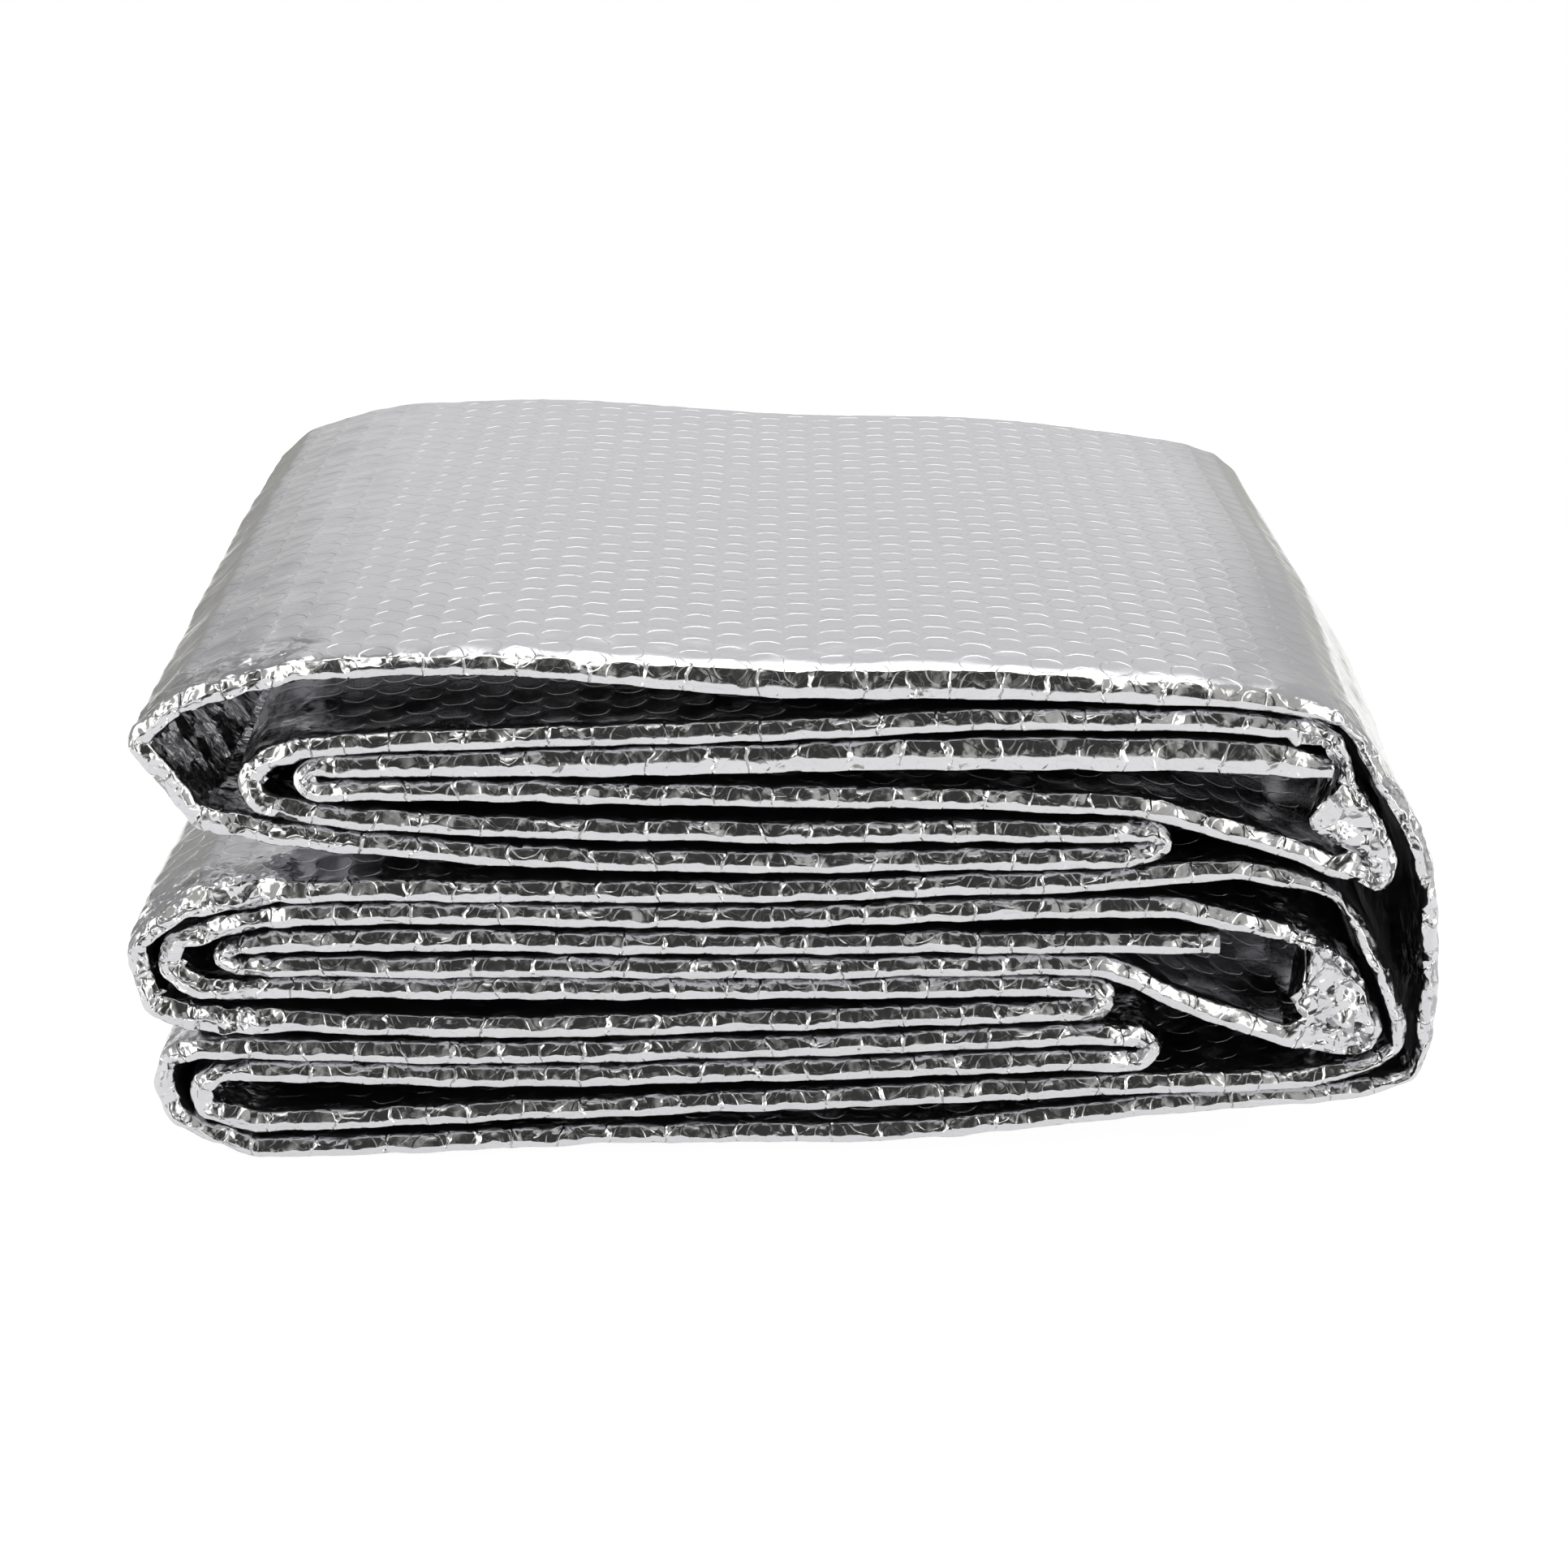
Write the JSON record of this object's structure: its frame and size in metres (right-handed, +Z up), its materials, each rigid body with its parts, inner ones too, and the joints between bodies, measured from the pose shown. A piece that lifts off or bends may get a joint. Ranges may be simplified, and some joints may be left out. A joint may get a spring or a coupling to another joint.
{
  "type": "folding solar blanket",
  "caption": "Folded reflective thermal blanket of foil and air-bubble laminate: a doubled sheet in stacked sections that unfold in packs about two side walls.",
  "frame": {"origin": "centre of the folded pile's footprint, on the ground it lies on", "axes": "+X across the folds towards the two tall side walls, -Y towards the lengthwise crease at the front, +Z up"},
  "size_m": [0.384, 0.336, 0.158],
  "materials": {
    "aluminium_foil": "bright metallised film, lightly creased over air bubbles",
    "bubble_film": "clear polyethylene bubble film between the foils"
  },
  "bodies": {
    "bottom_pack": {"section_16_bubbles": "bubble_film", "section_16_foil": "aluminium_foil", "fold_left_13_16": "aluminium_foil", "section_13_bubbles": "bubble_film", "section_13_foil": "aluminium_foil", "fold_right_13_14": "aluminium_foil", "section_14_bubbles": "bubble_film", "section_14_foil": "aluminium_foil", "fold_left_14_15": "aluminium_foil", "section_15_bubbles": "bubble_film", "section_15_foil": "aluminium_foil"},
    "outer_spine": {"outer_spine_bubbles": "bubble_film", "outer_spine_foil": "aluminium_foil"},
    "top_pack": {"section_03_bubbles": "bubble_film", "section_03_foil": "aluminium_foil", "fold_left_03_04": "aluminium_foil", "section_04_bubbles": "bubble_film", "section_04_foil": "aluminium_foil", "fold_right_02_04": "aluminium_foil", "section_02_bubbles": "bubble_film", "section_02_foil": "aluminium_foil", "fold_left_02_05": "aluminium_foil", "section_05_bubbles": "bubble_film", "section_05_foil": "aluminium_foil", "fold_right_05_06": "aluminium_foil", "section_06_bubbles": "bubble_film", "section_06_foil": "aluminium_foil", "fold_left_01_06": "aluminium_foil", "section_01_bubbles": "bubble_film", "section_01_foil": "aluminium_foil"},
    "inner_spine": {"inner_spine_bubbles": "bubble_film", "inner_spine_foil": "aluminium_foil"},
    "middle_pack": {"section_07_bubbles": "bubble_film", "section_07_foil": "aluminium_foil", "fold_left_07_12": "aluminium_foil", "section_12_bubbles": "bubble_film", "section_12_foil": "aluminium_foil", "fold_right_11_12": "aluminium_foil", "section_11_bubbles": "bubble_film", "section_11_foil": "aluminium_foil", "fold_left_08_11": "aluminium_foil", "section_08_bubbles": "bubble_film", "section_08_foil": "aluminium_foil", "fold_right_08_10": "aluminium_foil", "section_10_bubbles": "bubble_film", "section_10_foil": "aluminium_foil", "fold_left_09_10": "aluminium_foil", "section_09_bubbles": "bubble_film", "section_09_foil": "aluminium_foil"}
  },
  "joints": [
    {"name": "outer_spine_fold", "type": "hinge", "parent": "bottom_pack", "child": "outer_spine", "pos_m": [0.1881, 0, 0.02404], "axis": [0, 1, 0], "range_deg": [0, 90]},
    {"name": "top_pack_fold", "type": "hinge", "parent": "outer_spine", "child": "top_pack", "pos_m": [0.15939, 0, 0.14028], "axis": [0, 1, 0], "range_deg": [0, 90]},
    {"name": "inner_spine_fold", "type": "hinge", "parent": "bottom_pack", "child": "inner_spine", "pos_m": [0.17618, 0, 0.0284], "axis": [0, 1, 0], "range_deg": [0, 30]},
    {"name": "middle_pack_fold", "type": "hinge", "parent": "inner_spine", "child": "middle_pack", "pos_m": [0.16221, 0, 0.08661], "axis": [0, 1, 0], "range_deg": [0, 60]}
  ],
  "couplings": [
    {"joint": "top_pack_fold", "follows": "outer_spine_fold", "ratio": 1},
    {"joint": "inner_spine_fold", "follows": "outer_spine_fold", "ratio": 0.33333},
    {"joint": "middle_pack_fold", "follows": "outer_spine_fold", "ratio": 0.66667}
  ]
}
